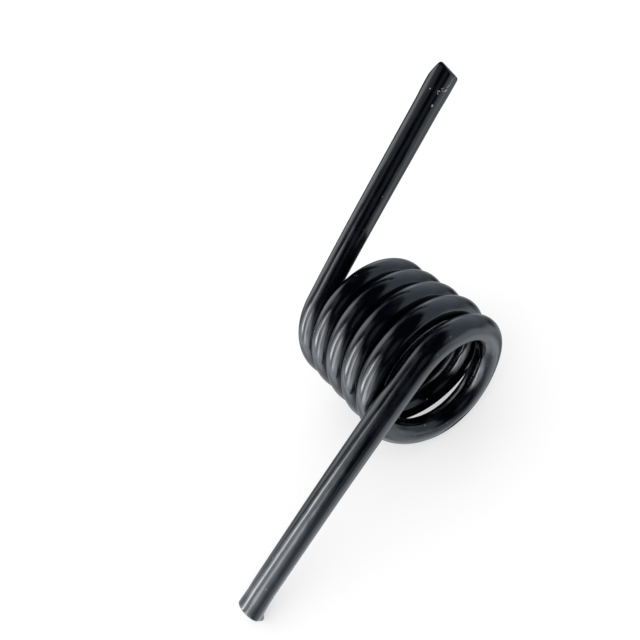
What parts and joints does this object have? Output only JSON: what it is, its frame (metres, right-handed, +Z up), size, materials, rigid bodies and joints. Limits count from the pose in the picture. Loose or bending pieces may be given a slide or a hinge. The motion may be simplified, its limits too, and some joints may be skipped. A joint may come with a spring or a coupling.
{
  "type": "torsion spring",
  "caption": "Heavy close-wound helical torsion spring of round black-finished wire, with two straight tangential legs that point opposite ways and have sheared ends.",
  "frame": {"origin": "middle of the spring's footprint box, on the surface it lies on", "axes": "+X along the coil axis towards the end that the lower leg leaves from, +Y level, from the lower leg's tip towards the raised leg's tip, +Z up from the surface"},
  "size_m": [0.0628, 0.187, 0.1046],
  "materials": {
    "coated_steel": "glossy blue-black protective coating over spring steel, lightly scuffed"
  },
  "bodies": {
    "root": {"torsion_spring": "coated_steel"}
  },
  "joints": []
}
